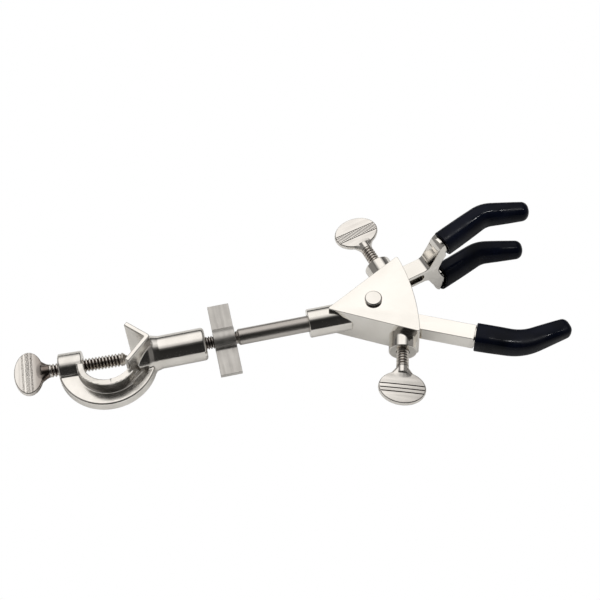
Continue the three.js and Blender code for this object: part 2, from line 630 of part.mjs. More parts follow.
// ---- torsion spring -----------------------------------------------------------------------
// Coiled round the pin above the arms, with a leg against the inner face of each arm.
function torsionSpring() {
  const low = ARM_HALF_HEIGHT + SPRING_WIRE_RADIUS + GAP;
  const sweep = SPRING_END_ANGLE - SPRING_START_ANGLE;
  const rise = 2.1 * SPRING_WIRE_RADIUS * sweep / (2 * Math.PI);
  const coilPoint = (angle, z) => new THREE.Vector3(
    SPRING_COIL_RADIUS * Math.cos(angle), SPRING_COIL_RADIUS * Math.sin(angle), z);
  const legPoint = (angle, z, away) => coilPoint(angle, z)
    .add(new THREE.Vector3(-Math.sin(angle), Math.cos(angle), 0).multiplyScalar(away));
  const hookLow = 2;
  const hook = (angle, z, side) => [
    ...[0.35, 0.7, 0.93].map((share) => legPoint(angle, z, side * share * SPRING_LEG)),
    legPoint(angle, z - 1, side * SPRING_LEG),
    legPoint(angle, hookLow, side * SPRING_LEG),
  ];
  const points = hook(SPRING_START_ANGLE, low, -1).reverse();
  const steps = 30;
  for (let i = 0; i <= steps; i++) {
    const share = i / steps;
    points.push(coilPoint(SPRING_START_ANGLE + share * sweep, low + share * rise));
  }
  points.push(...hook(SPRING_END_ANGLE, low + rise, 1));
  const wire = new THREE.Shape();
  wire.absarc(0, 0, SPRING_WIRE_RADIUS, 0, 2 * Math.PI, false);
  return solid(new THREE.ExtrudeGeometry(wire, {
    extrudePath: new THREE.CatmullRomCurve3(points, false, 'centripetal'),
    steps: 66,
    curveSegments: 3,
    bevelEnabled: false,
  }));
}

// ---- assembly -----------------------------------------------------------------------------
const FORK_TIP_DEPTH = 1.9;
const SINGLE_TIP_DEPTH = 4.15;
const LOWER_HEAD_SPIN = THREE.MathUtils.degToRad(8);

const jaws = new THREE.Group();
jaws.position.x = PIVOT_X;
jaws.add(
  named('housing', housing(), nickel),
  named('pivot_rivet', pivotRivet(), nickel),
  named('pivot_spacer', pivotSpacer(), steel),
  named('torsion_spring', torsionSpring(), springSteel),
  named('fork_arm', forkArm(), nickel),
  named('upper_prong_sleeve', sleeveOf(prongDesign(1)), vinyl),
  named('lower_prong_sleeve', sleeveOf(prongDesign(-1)), vinyl),
  named('single_arm', singleArm(), nickel),
  named('single_finger_sleeve', sleeveOf(fingerDesign), vinyl),
  armScrew('fork', 1, FORK_TIP_DEPTH - GAP, 0),
  armScrew('single', -1, SINGLE_TIP_DEPTH, LOWER_HEAD_SPIN),
);

const clamp = new THREE.Group();
clamp.add(
  named('boss_casting', bossCasting(), castNickel),
  bossScrew(),
  named('rod', rod(), steel),
  named('lock_nut', lockNut(), dullNickel),
  jaws,
);

export default clamp;
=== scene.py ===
import math

import bpy
from mathutils import Matrix, Quaternion, Vector


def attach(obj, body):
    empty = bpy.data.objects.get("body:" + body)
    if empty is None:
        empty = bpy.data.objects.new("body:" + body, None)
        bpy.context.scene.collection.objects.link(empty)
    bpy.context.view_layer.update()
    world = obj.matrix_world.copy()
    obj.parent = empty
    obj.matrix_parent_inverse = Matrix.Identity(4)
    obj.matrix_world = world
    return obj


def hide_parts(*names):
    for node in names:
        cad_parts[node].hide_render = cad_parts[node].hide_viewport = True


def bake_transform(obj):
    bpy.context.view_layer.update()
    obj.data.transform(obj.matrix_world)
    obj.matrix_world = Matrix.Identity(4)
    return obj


# The looks of a three finger laboratory clamp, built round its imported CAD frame.
# Shapes are worked out in millimetres, and `made` turns them into metres.
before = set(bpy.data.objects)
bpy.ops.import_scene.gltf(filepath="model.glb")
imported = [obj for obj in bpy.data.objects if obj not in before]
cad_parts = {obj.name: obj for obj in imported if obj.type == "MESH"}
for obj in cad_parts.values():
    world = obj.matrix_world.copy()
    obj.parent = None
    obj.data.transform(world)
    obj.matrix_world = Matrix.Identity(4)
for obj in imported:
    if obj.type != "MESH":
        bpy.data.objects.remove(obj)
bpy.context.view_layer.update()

# ---- driving dimensions, in millimetres ----
MM = 0.001
GAP = 0.3  # clearance between neighbouring pieces
PAST = 1.0  # how far a cutter or a joined piece runs past the face that it meets
POINT = 0.02  # a pointed end keeps this radius, so that its faces stay sound
ROUND = 96  # facets round a turned piece
SLANT = math.sqrt(0.5)  # sine and cosine of the V jaw's 45 degrees

STAND_ROD_RADIUS = 6.0
JAW_HALF_HEIGHT = 16.8
JAW_THICKNESS = 2.4
JAW_UPPER_LEG = 12.0
JAW_LOWER_LEG = 15.0
HOOK_CENTRE = Vector((-10.3, -3.6))
HOOK_RADIUS = 13.6
HOOK_THICKNESS = 3.1
HOOK_HALF_HEIGHT = 10.5
HOOK_HALF_HEIGHT_AT_BOSS = 7.2
HOOK_ENDS = (-42, -186)  # degrees round its centre, at the jaw and at the screw boss
WEB_CENTRE = Vector((-11.2, -1.0))
WEB_RADIUS = 24.0
WEB_THICKNESS = 5.8
WEB_RIM = 1.6
WEB_ENDS = (-22, -170)
POCKET_DEPTH = 1.2
BARREL_RADIUS = 8.1
BARREL_START = 3.5
BARREL_END = 37.2
BARREL_BORE_START = 18.0
BARREL_END_ROUND = 1.6
BARREL_FLARE = [(BARREL_START, 10.4), (9.0, 9.9), (11.5, 8.9), (14.5, BARREL_RADIUS)]

BOSS_SCREW_TILT = 2.2
BOSS_SCREW_RADIUS = 3.25
BOSS_SCREW_PITCH = 1.6
BOSS_SCREW_TIP = -1.5
BOSS_SCREW_HEAD_EDGE = -42.2
SCREW_BOSS_RADIUS = 7.4
SCREW_BOSS_START = -34.6
SCREW_BOSS_END = -22.8

ROD_RADIUS = 4.0
ROD_THREAD_RADIUS = 3.2
ROD_THREAD_START = 22.0
ROD_THREAD_PITCH = 1.25
ROD_SHOULDER = 53.0
NUT_START = 41.2
NUT_END = 51.8
NUT_HUB_RADIUS = 5.7
NUT_HALF_SPAN = 20.2
NUT_WING_THICKNESS = 2.2

PIVOT_X = 121.0
HOUSING_HALF_HEIGHT = 10.25
PLATE_THICKNESS = 2.0
WALL_THICKNESS = 1.6
HOUSING_BACK = -23.0
HOUSING_FRONT = 17.6
HOUSING_HALF_WIDTH = 22.9
FRONT_SAGITTA = 2.3
CORNER_RADIUS = 1.6
COLLAR_START = -32.8
COLLAR_END = -12.0
COLLAR_RADIUS = 7.1
ROD_END = -17.0
CAVITY_BACK = -14.5
RIVET_RADIUS = 3.0
RIVET_HEAD_RADIUS = 4.25
RIVET_HEAD_HEIGHT = 1.7
SEAT_GAP = 0.1
SPACER_RADIUS = 5.2
WALL_ANGLE = math.atan2(HOUSING_HALF_WIDTH, HOUSING_FRONT - HOUSING_BACK)

ARM_WIDTH = 8.5
ARM_HALF_HEIGHT = 4.35
HUB_RADIUS = 6.2
LAP_GAP = 0.15
LAP_CLEARANCE_RADIUS = 7.0
SLEEVE_WALL = 1.5
SLEEVE_SIDES = 56
MOUTH_FADE = 12.0  # a leaning mouth is square to the finger again this far on
ARM_SCREW_RADIUS = 3.0
ARM_SCREW_PITCH = 1.5
ARM_SCREW_TILT = 15.0
ARM_SCREW_WALL_POINT = Vector((10.4, 18.8))
ARM_SCREW_HEAD_OFFSET = 23.3
ARM_BOSS_RADIUS = 6.8
ARM_BOSS_LENGTH = 7.8
FORK_TIP_DEPTH = 1.6
SINGLE_TIP_DEPTH = 4.15
SINGLE_HEAD_SPIN = 8.0
SPIGOT_RADIUS = 2.0
SPIGOT_LENGTH = 2.8
THREAD_DEPTH_SHARE = 0.6  # of the pitch
ENGRAVING_DEPTH = 0.42
VEE_DEPTH = 0.4
VEE_HALF_WIDTH = 0.55

SPRING_WIRE_RADIUS = 0.45
SPRING_WIRE_SIDES = 14
SPRING_COIL_RADIUS = 4.3
SPRING_LEG = 13.0
SPRING_START_ANGLE = math.radians(52)
SPRING_END_ANGLE = math.radians(315 + 720)

STEM_ANGLE = 17.0
STEM_ORIGIN = Vector((20.2, 15.8))
FORK_HALF_SPAN = 19.0
FORK_END = 19.0  # the flared plate's outer corners, along the stem
FORK_CROTCH = 17.0  # bottom of the gap between the prongs
STOP_GAP = 0.25
GROOVE = "groove_depth"  # mesh attribute: 0 on a surface, 1 at the bottom of a groove in it


# ---- mesh helpers ----
def made(name, points, faces):
    """A new object from points in millimetres."""
    mesh = bpy.data.meshes.new(name)
    mesh.from_pydata([Vector(p) * MM for p in points], [], faces)
    obj = bpy.data.objects.new(name, mesh)
    bpy.context.scene.collection.objects.link(obj)
    return obj


def modified(obj, kind, **settings):
    """obj with one modifier added and applied."""
    modifier = obj.modifiers.new(kind.title(), kind)
    for key, value in settings.items():
        setattr(modifier, key, value)
    graph = bpy.context.evaluated_depsgraph_get()
    old = obj.data
    obj.data = bpy.data.meshes.new_from_object(obj.evaluated_get(graph), depsgraph=graph)
    obj.modifiers.clear()
    bpy.data.meshes.remove(old)
    return obj


def combined(obj, operation, tools):
    for tool in tools:
        modified(obj, "BOOLEAN", operation=operation, solver="MANIFOLD", object=tool)
        bpy.data.objects.remove(tool)
    return obj


def joined(obj, *tools):
    return combined(obj, "UNION", tools)


def cut(obj, *tools):
    return combined(obj, "DIFFERENCE", tools)


def common(obj, tool):
    return combined(obj, "INTERSECT", [tool])


def placed(obj, x=0.0, y=0.0, turn=0.0, axis="Z"):
    """Turns obj's mesh by degrees about an axis through the origin, then moves it."""
    obj.data.transform(Matrix.Rotation(math.radians(turn), 4, axis))
    obj.data.transform(Matrix.Translation(Vector((x, y, 0)) * MM))
    return obj


def crisp(obj):
    """Smooth shading with sharp edges kept and flat faces shaded flat."""
    obj.data.shade_smooth()
    obj.data.set_sharp_from_angle(angle=math.radians(32))
    return modified(obj, "WEIGHTED_NORMAL", keep_sharp=True)


def cast(obj, voxel, rounds):
    """obj remeshed and smoothed, so that its inner corners fill and its rims round over."""
    modified(obj, "REMESH", mode="VOXEL", voxel_size=voxel * MM)
    modified(obj, "SMOOTH", factor=0.5, iterations=rounds)
    obj.data.shade_smooth()
    return obj


def arc(centre, radius, start, end, steps=24):
    angles = [math.radians(start + (end - start) * i / steps) for i in range(steps + 1)]
    return [(centre[0] + radius * math.cos(a), centre[1] + radius * math.sin(a)) for a in angles]


def circle(count):
    """(cosine, sine) at even steps round a full turn."""
    angles = [2 * math.pi * i / count for i in range(count)]
    return [(math.cos(a), math.sin(a)) for a in angles]


def quarter_turn(steps):
    """Angles from 0 to 90 degrees, in radians."""
    return [i * math.pi / (2 * steps) for i in range(steps + 1)]


def rounded_rim(radius, steps):
    """Points round a rim from its side to its end face: (back from the face, in from the side)."""
    return [(radius * (1 - math.sin(a)), radius * (1 - math.cos(a))) for a in quarter_turn(steps)]


def bend(start, middle, end, steps=10):
    """Points on a quadratic curve."""
    start, middle, end = Vector(start), Vector(middle), Vector(end)
    shares = [i / steps for i in range(steps + 1)]
    return [tuple(start * (1 - t) ** 2 + middle * 2 * t * (1 - t) + end * t * t) for t in shares]


def prism(name, outline, low, high, rounding=0.0, steps=4):
    """A flat outline in the XY plane raised between two heights, its sharp edges rounded."""
    pairs = zip(outline, outline[1:] + outline[:1])
    if sum(a[0] * b[1] - b[0] * a[1] for a, b in pairs) < 0:
        outline = outline[::-1]
    count = len(outline)
    points = [(x, y, z) for z in (low, high) for x, y in outline]
    sides = [(i, (i + 1) % count, count + (i + 1) % count, count + i) for i in range(count)]
    caps = [tuple(reversed(range(count))), tuple(range(count, 2 * count))]
    obj = made(name, points, sides + caps)
    if rounding:
        modified(obj, "BEVEL", width=rounding * MM, segments=steps, limit_method="ANGLE",
                 angle_limit=math.radians(50), use_clamp_overlap=True)
    return obj


def block(name, low, high):
    corners = [(low[0], low[1]), (high[0], low[1]), (high[0], high[1]), (low[0], high[1])]
    return prism(name, corners, low[2], high[2])


def loft(name, rings):
    """A skin over closed rings of points, with both ends filled."""
    around = len(rings[0])
    points = [p for ring in rings for p in ring]
    faces = []
    for k in range(len(rings) - 1):
        for i in range(around):
            a, b = k * around + i, k * around + (i + 1) % around
            faces.append((a, b, b + around, a + around))
    faces.append(tuple(reversed(range(around))))
    faces.append(tuple(range(len(points) - around, len(points))))
    return made(name, points, faces)


def note_grooves(obj, dips):
    """Stores how deep in a groove each vertex lies, for the materials to read."""
    obj.data.attributes.new(GROOVE, "FLOAT", "POINT").data.foreach_set("value", dips)


def thread_dip(turns):
    """How deep a thread with a flat crest is at a count of turns: 0 on its crest, 1 in its root."""
    slope, crest = 1.5, 0.4
    return min(1.0, max(0.0, slope * (1 - abs(2 * (turns % 1.0) - 1)) - crest))


def turned(name, stations, facets=ROUND, thread=None):
    """A solid of revolution about X from (along, radius) stations.
    thread is (start, end, pitch, depth): a helical groove on a straight stretch between two stations."""
    stations = [(along, max(radius, POINT)) for along, radius in stations]
    if thread:
        start, end, pitch, depth = thread
        rings_a_turn = 14
        radius = [r for along, r in stations if along <= start][-1]
        count = math.ceil((end - start) / pitch * rings_a_turn)
        before = [s for s in stations if s[0] <= start]
        after = [s for s in stations if s[0] >= end]
        inside = [(start + (end - start) * i / count, radius) for i in range(1, count)]
        stations = before + inside + after
    rings = []
    dips = []
    for along, radius in stations:
        ring = []
        for i in range(facets):
            share = i / facets
            dip = 0.0
            if thread and start < along < end:
                fade = min(1.0, (along - start) / pitch, (end - along) / pitch)
                dip = fade * thread_dip((along - start) / pitch - share)
            r = radius - depth * dip if dip else radius
            angle = 2 * math.pi * share
            ring.append((along, r * math.cos(angle), r * math.sin(angle)))
            dips.append(dip)
        rings.append(ring)
    obj = loft(name, rings)
    if thread:
        note_grooves(obj, dips)
    return obj


def pin(name, start, end, radius, rim=0.0):
    """A plain cylinder along X with its outer rims rounded."""
    if not rim:
        return turned(name, [(start, radius), (end, radius)])
    rounded = rounded_rim(rim, 5)
    first = [(start + back, radius - inward) for back, inward in rounded[::-1]]
    last = [(end - back, radius - inward) for back, inward in rounded]
    return turned(name, first + last)


def column(name, radius, low, high, rim=0.0):
    return placed(pin(name, low, high, radius, rim), turn=-90, axis="Y")


# ---- materials ----
def add_node(tree, kind, inputs, **settings):
    """A new node. inputs gives its sockets, by name or number, a value or the socket to link from."""
    node = tree.nodes.new(kind)
    for key, value in settings.items():
        setattr(node, key, value)
    for socket, value in inputs.items():
        if isinstance(value, bpy.types.NodeSocket):
            tree.links.new(value, node.inputs[socket])
        else:
            node.inputs[socket].default_value = value
    return node


def show_camera(tree, output, shown, real):
    """Ends a node tree: the camera sees one shader, and all else is lit and mirrored by the other."""
    is_camera = add_node(tree, "ShaderNodeLightPath", {}).outputs["Is Camera Ray"]
    chooser = add_node(tree, "ShaderNodeMixShader", {"Fac": is_camera, 1: real, 2: shown})
    tree.links.new(chooser.outputs["Shader"], tree.nodes[output].inputs["Surface"])


class Paint:
    """A material under construction: its Principled shader and the node tree round it."""

    def __init__(self, name, **settings):
        self.material = bpy.data.materials.new(name)
        self.material.use_nodes = True
        self.tree = self.material.node_tree
        self.shader = self.tree.nodes["Principled BSDF"]
        for socket, value in settings.items():
            self.shader.inputs[socket.replace("_", " ")].default_value = value
        self.place = self.add("ShaderNodeTexCoord", {}).outputs["Object"]

    def add(self, kind, inputs, **settings):
        return add_node(self.tree, kind, inputs, **settings)

    def noise(self, scale, stretch=(1, 1, 1), detail=4.0, turn=0.0):
        """Noise in object space; stretch squeezes it along axes that are turned by degrees about Z."""
        mapping = self.add("ShaderNodeMapping", {
            "Vector": self.place, "Rotation": (0, 0, math.radians(turn)), "Scale": [1 / s for s in stretch],
        }, vector_type="TEXTURE")
        return self.add("ShaderNodeTexNoise", {
            "Vector": mapping.outputs["Vector"], "Scale": scale, "Detail": detail, "Roughness": 0.55,
        }).outputs["Fac"]

    def ranged(self, value, low, high, from_low=0.3, from_high=0.7):
        """value spread from a range onto low to high."""
        return self.add("ShaderNodeMapRange", {
            "Value": value, "From Min": from_low, "From Max": from_high, "To Min": low, "To Max": high,
        }).outputs["Result"]

    def mixed(self, factor, first, second):
        """first where factor is 0 and second where it is 1; each is a colour or a socket."""
        first_colour, second_colour, mixed_colour = 6, 7, 2
        first, second = (c if isinstance(c, bpy.types.NodeSocket) else (*c, 1) for c in (first, second))
        return self.add("ShaderNodeMix", {
            "Factor": factor, first_colour: first, second_colour: second,
        }, data_type="RGBA").outputs[mixed_colour]

    def combined(self, operation, first, second):
        return self.add("ShaderNodeMath", {0: first, 1: second}, operation=operation).outputs["Value"]

    def pointiness(self, low, high):
        """0 on flat surfaces, 1 on outer edges."""
        return self.ranged(self.add("ShaderNodeNewGeometry", {}).outputs["Pointiness"], 0, 1, low, high)

    def along_x(self, start, end):
        """0 at one place along X and 1 at another, in millimetres."""
        parts = self.add("ShaderNodeSeparateXYZ", {"Vector": self.place})
        return self.ranged(parts.outputs["X"], 0, 1, start * MM, end * MM)

    def shaded_in_grooves(self, colour, unshaded=0.2, black=0.9):
        """colour, darkened by painted shade in grooves, between two shares of their depth."""
        depth = self.add("ShaderNodeAttribute", {}, attribute_name=GROOVE).outputs["Fac"]
        # painted shade: the deeper a point lies in a groove, the nearer its colour goes to a dark brown
        return self.mixed(self.ranged(depth, 0, 1, unshaded, black), colour, (0.14, 0.11, 0.10))

    def feed(self, socket, value):
        self.tree.links.new(value, self.shader.inputs[socket])

    def bumps(self, *layers):
        """Bump layers of (height, strength, distance in millimetres), one over another."""
        below = {}
        for height, strength, distance in layers:
            node = self.add("ShaderNodeBump", {
                "Strength": strength, "Distance": distance * MM, "Height": height, **below,
            })
            below = {"Normal": node.outputs["Normal"]}
        self.feed("Normal", below["Normal"])


def plated(name, light, dark, roughness):
    """Nickel plate: tint drifts a little, haze and hairlines in the polish, bright worn edges."""
    haze = 0.08
    paint = Paint(name, Metallic=1.0)
    drift = paint.ranged(paint.noise(90), 0, 1)
    tint = paint.mixed(drift, light, dark)
    worn = tuple(min(1.0, c * 1.1) for c in light)
    # painted shade in thread roots and grooves, where a piece has them
    paint.feed("Base Color", paint.shaded_in_grooves(paint.mixed(paint.pointiness(0.52, 0.58), tint, worn)))
    smear = paint.ranged(paint.noise(160, detail=6), 0, haze)
    hairline = paint.ranged(paint.noise(500, (1, 9, 1)), 0, haze * 0.6, 0.55, 0.75)
    paint.feed("Roughness", paint.combined("ADD", paint.combined("ADD", smear, hairline), roughness))
    paint.bumps(
        (paint.noise(220, detail=2), 0.10, 0.05),
        (paint.noise(1800, (1, 6, 1)), 0.05, 0.01),
    )
    return paint.material


def cast_nickel():
    """Plated casting: the hook keeps its cast skin and the barrel is polished."""
    paint = Paint("cast_nickel", Metallic=1.0)
    drift = paint.ranged(paint.noise(90), 0, 1)
    paint.feed("Base Color", paint.mixed(drift, (0.86, 0.83, 0.785), (0.74, 0.71, 0.665)))
    polish = paint.along_x(8, 14)
    skin = paint.ranged(paint.noise(300, detail=6), 0.18, 0.27)
    smear = paint.ranged(paint.noise(160, detail=6), 0.09, 0.20)
    barrel = paint.combined("MULTIPLY", smear, polish)
    hook = paint.combined("MULTIPLY", skin, paint.combined("SUBTRACT", 1.0, polish))
    paint.feed("Roughness", paint.combined("ADD", barrel, hook))
    paint.bumps((paint.noise(220, detail=2), 0.35, 0.05), (paint.noise(900, detail=3), 0.15, 0.02))
    return paint.material


def brushed_nickel(name, turn, shadow=None):
    """Nickel plate on a thumb head, with fine streaks along its width, turned by degrees about Z.
    shadow is where along X a painted shade on it starts and where it is darkest, by its neck."""
    paint = Paint(name, Metallic=1.0)
    streaks = paint.noise(420, (1, 0.05, 0.3), detail=5, turn=turn)
    drift = paint.noise(110)
    shade = paint.combined("MULTIPLY", paint.ranged(streaks, 0.2, 1), paint.ranged(drift, 0.5, 1))
    colour = paint.mixed(shade, (0.88, 0.845, 0.80), (0.62, 0.59, 0.555))
    if shadow:
        # painted shade: the head's colour goes to a deep brown towards its neck
        colour = paint.mixed(paint.along_x(*shadow), colour, (0.20, 0.165, 0.145))
    # painted shade in the head's V grooves and engraved lines
    paint.feed("Base Color", paint.shaded_in_grooves(colour, 0.08, 0.45))
    paint.feed("Roughness", paint.ranged(streaks, 0.16, 0.30))
    paint.bumps((streaks, 0.35, 0.05), (paint.noise(260, detail=2), 0.15, 0.06))
    return paint.material


def dull_nickel():
    """Satin plate with the lines of the drawn bar along its wings."""
    paint = Paint("dull_nickel", Metallic=1.0)
    drift = paint.ranged(paint.noise(120), 0, 1)
    paint.feed("Base Color", paint.mixed(drift, (0.62, 0.60, 0.57), (0.53, 0.51, 0.485)))
    grain = paint.noise(700, (1, 0.08, 1))
    paint.feed("Roughness", paint.ranged(grain, 0.36, 0.52))
    paint.bumps((grain, 0.18, 0.03), (paint.noise(250), 0.12, 0.06))
    return paint.material


def turned_steel():
    """Bright drawn bar with streaks along it and the faintest lathe lines round it."""
    paint = Paint("turned_steel", Metallic=1.0)
    lines = paint.noise(900, (1, 0.04, 0.04), detail=3)
    marks = paint.noise(420, (0.05, 1, 1))
    colour = paint.mixed(paint.ranged(marks, 0, 1), (0.42, 0.39, 0.365), (0.60, 0.57, 0.535))
    # painted shade in the rod's thread roots
    paint.feed("Base Color", paint.shaded_in_grooves(colour))
    paint.feed("Roughness", paint.ranged(marks, 0.24, 0.40))
    paint.bumps((lines, 0.05, 0.02), (marks, 0.12, 0.02))
    return paint.material


def spring_steel():
    paint = Paint("spring_steel", Metallic=1.0)
    marks = paint.noise(1500, (1, 1, 0.3))
    paint.feed("Base Color", paint.mixed(paint.ranged(marks, 0, 1), (0.30, 0.29, 0.28), (0.50, 0.48, 0.46)))
    paint.feed("Roughness", paint.ranged(marks, 0.22, 0.38))
    paint.bumps((marks, 0.1, 0.02),)
    return paint.material


def dipped_vinyl():
    """Glossy black vinyl with a navy cast, soft dimples and rubbed, duller patches."""
    paint = Paint("dipped_vinyl", Metallic=0.0, Specular_IOR_Level=0.08)
    drift = paint.ranged(paint.noise(70), 0, 1)
    paint.feed("Base Color", paint.mixed(drift, (0.0015, 0.002, 0.004), (0.004, 0.0055, 0.013)))
    rub = paint.noise(75, detail=2)
    paint.feed("Roughness", paint.ranged(rub, 0.08, 0.38, 0.42, 0.56))
    paint.bumps((paint.noise(95, detail=1), 0.6, 0.5),)
    return paint.material


def floor_white():
    """Pale card, shown to the camera as plain white and to the metal as light grey."""
    paint = Paint("floor_white", Roughness=0.9, Specular_IOR_Level=0.1)
    fleck = paint.ranged(paint.noise(12), 0, 1)
    paint.feed("Base Color", paint.mixed(fleck, (0.80, 0.80, 0.79), (0.83, 0.83, 0.82)))
    white = paint.add("ShaderNodeEmission", {"Color": (1, 1, 1, 1)})
    show_camera(paint.tree, "Material Output", white.outputs["Emission"], paint.shader.outputs["BSDF"])
    return paint.material


NICKEL = plated("polished_nickel", (0.83, 0.80, 0.755), (0.76, 0.73, 0.68), roughness=0.07)
SCREW = plated("screw_nickel", (0.76, 0.72, 0.67), (0.64, 0.60, 0.555), roughness=0.20)
CAST = cast_nickel()
DULL = dull_nickel()
STEEL = turned_steel()
SPRING = spring_steel()
# the boss head gets painted shade along X, darkest by its neck
BOSS_HEAD = brushed_nickel("boss_thumb_nickel", -BOSS_SCREW_TILT, (-50.5, -42))
FORK_HEAD = brushed_nickel("fork_thumb_nickel", ARM_SCREW_TILT - 90)
SINGLE_HEAD = brushed_nickel("single_thumb_nickel", 90 - ARM_SCREW_TILT)
VINYL = dipped_vinyl()


def finished(obj, material, body, *nodes):
    """Gives a piece its material and slot and its body, and hides the CAD nodes that it stands for."""
    obj.data.materials.clear()
    obj.data.materials.append(material)
    if body:
        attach(obj, body)
    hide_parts(*nodes)
    return obj


# ---- boss head ----
JAW_CORNER_X = STAND_ROD_RADIUS / SLANT
JAW_OUTER_X = JAW_CORNER_X + JAW_THICKNESS / SLANT


def v_jaw():
    upper = JAW_UPPER_LEG * SLANT
    lower = JAW_LOWER_LEG * SLANT
    step = JAW_THICKNESS * SLANT
    outer_round = 1.2
    round_x = JAW_OUTER_X - outer_round
    outline = [
        (JAW_CORNER_X - upper, upper), (JAW_CORNER_X, 0), (JAW_CORNER_X - lower, -lower),
        (JAW_CORNER_X - lower + step, -lower - step),
        *bend((round_x, -outer_round), (JAW_OUTER_X, 0), (round_x, outer_round)),
        (JAW_CORNER_X - upper + step, upper + step),
    ]
    return prism("v_jaw", outline, -JAW_HALF_HEIGHT, JAW_HALF_HEIGHT)


def hook_band():
    """The C from the jaw to the screw boss, narrower along the stand rod near the boss."""
    outer = arc(HOOK_CENTRE, HOOK_RADIUS + HOOK_THICKNESS / 2, *HOOK_ENDS, 60)
    inner = arc(HOOK_CENTRE, HOOK_RADIUS - HOOK_THICKNESS / 2, *HOOK_ENDS[::-1], 60)
    obj = prism("hook_band", outer + inner, -1, 1)
    # its two faces are then moved apart, point by point
    for vertex in obj.data.vertices:
        drop = min(1.0, max(0.0, (HOOK_CENTRE.y - vertex.co.y / MM) / HOOK_RADIUS))
        half = HOOK_HALF_HEIGHT_AT_BOSS + (HOOK_HALF_HEIGHT - HOOK_HALF_HEIGHT_AT_BOSS) * drop
        if vertex.co.x / MM > HOOK_CENTRE.x:
            half = HOOK_HALF_HEIGHT
        vertex.co.z = math.copysign(half * MM, vertex.co.z)
    return obj


def web():
    """The crescent plate outside the hook, from the barrel to the screw boss."""
    outline = [
        *arc(WEB_CENTRE, WEB_RADIUS, *WEB_ENDS, 70), (-30, -2),
        *arc(HOOK_CENTRE, HOOK_RADIUS, -180, -40, 40), (JAW_CORNER_X, -1.6),
    ]
    return prism("web", outline, -WEB_THICKNESS / 2, WEB_THICKNESS / 2, WEB_RIM, steps=6)


def web_pockets():
    outline = [(-1.4, -14.6), (1.2, -17.6), (6.4, -12.6), (8.4, -7.8), (5.8, -8.2)]
    half = WEB_THICKNESS / 2
    return [
        prism("pocket", outline, half - POCKET_DEPTH, half + PAST, 0.5),
        prism("pocket", outline, -half - PAST, POCKET_DEPTH - half, 0.5),
    ]


def tilted(obj):
    return placed(obj, turn=-BOSS_SCREW_TILT)


def barrel():
    """The socket for the rod, wider towards the jaw, with the stand rod's side kept open."""
    reach = 2 * BARREL_RADIUS
    inside = prism(
        "inside", [(JAW_CORNER_X, 0), (JAW_CORNER_X - reach, reach), (JAW_CORNER_X - reach, -reach)],
        -JAW_HALF_HEIGHT, JAW_HALF_HEIGHT)
    end = [
        (BARREL_END - back, BARREL_RADIUS - inward) for back, inward in rounded_rim(BARREL_END_ROUND, 6)
    ]
    return cut(turned("barrel", BARREL_FLARE + end), inside)


def boss_casting():
    screw_boss = tilted(pin("screw_boss", SCREW_BOSS_START, SCREW_BOSS_END, SCREW_BOSS_RADIUS, 0.9))
    body = joined(v_jaw(), hook_band(), web(), barrel(), screw_boss)
    body.name = "boss_head"
    cut(body, *web_pockets())
    cast(body, voxel=0.29, rounds=3)
    rod_bore = pin("bore", BARREL_BORE_START, BARREL_END + PAST, ROD_THREAD_RADIUS + GAP)
    screw_bore = pin("bore", SCREW_BOSS_START - PAST, SCREW_BOSS_END + PAST, BOSS_SCREW_RADIUS + GAP)
    cut(body, rod_bore, tilted(screw_bore))
    body.data.set_sharp_from_angle(angle=math.radians(45))
    return finished(body, CAST, "boss", "boss_casting")


# ---- thumb screws: the axis is X, the tip is the origin and points to +X ----
RIM_START = 0.95  # where a head's rim starts to round over, as a share of the way to its edge
TALL = 10  # taller than any head


def lens_height(share, thickness):
    """Half the thickness of an oval head at a share of the way from its middle to its rim."""
    middle, edge, crown = 0.5, 0.43, 2.2
    return thickness * (edge + (middle - edge) * (1 - share ** crown))


def lens(name, width, length, thickness, shrink=0.0):
    """An oval disc, thicker in the middle, with a rounded rim."""
    shares = [0.0, 0.2, 0.4, 0.6, 0.75, 0.86, RIM_START, 0.965, 0.98, 0.99, 0.997, 1.0]
    heights = []
    for share in shares:
        height = lens_height(share, thickness) - shrink
        if share > RIM_START:
            height *= math.sqrt(max(0.0, 1 - ((share - RIM_START) / (1 - RIM_START)) ** 2))
        heights.append(height)
    upper = list(zip(heights, shares))
    lower = [(-height, share) for height, share in upper]
    obj = placed(turned(name, lower + upper[-2::-1], facets=128), turn=-90, axis="Y")
    obj.data.transform(Matrix.Diagonal((length / 2, width / 2, 1, 1)))
    return obj


def rib_lines(centre, length, width, offsets, line):
    """Straight cutters across the head, at shares of its length from its middle."""
    cutters = []
    for share in offsets:
        x = centre + share * length
        cutters.append(block("line", (x - line / 2, -width, -TALL), (x + line / 2, width, TALL)))
    return cutters


def knurl_lines(centre, length, width, low, high):
    """Slanting cutters inside a band across the head."""
    spacing, line, slant, lap = 1.1, 0.38, 38, 0.4
    count = int(width / spacing)
    half = (high - low) * length / 2 + lap
    cutters = []
    for i in range(count):
        y = (i - (count - 1) / 2) * spacing
        stroke = block("stroke", (-half, -line / 2, -TALL), (half, line / 2, TALL))
        cutters.append(placed(stroke, centre + (low + high) / 2 * length, y, turn=slant))
    return cutters


def engraved(head, core, cutters, top):
    """Cuts lines to an even depth on one face of a head: core is the head less that depth."""
    wide = 200
    low, high = (0, 2 * TALL) if top else (-2 * TALL, 0)
    for cutter in cutters:
        common(cutter, block("half", (-wide, -wide, low), (wide, wide, high)))
        cut(cutter, copied(core))
        cut(head, cutter)


def copied(obj):
    twin = bpy.data.objects.new(obj.name, obj.data.copy())
    bpy.context.scene.collection.objects.link(twin)
    return twin


def face_dip(point, centre, length, width, thickness):
    """How far below a head's crown a point on it lies, as a share of a full groove."""
    inside_rim, slight, full = 0.93, 0.08, 0.38
    share = math.hypot((point.x - centre) * 2 / length, point.y * 2 / width)
    if share > inside_rim:
        return 0.0
    dip = lens_height(share, thickness) - abs(point.z)
    return min(1.0, max(0.0, (dip - slight) / (full - slight)))


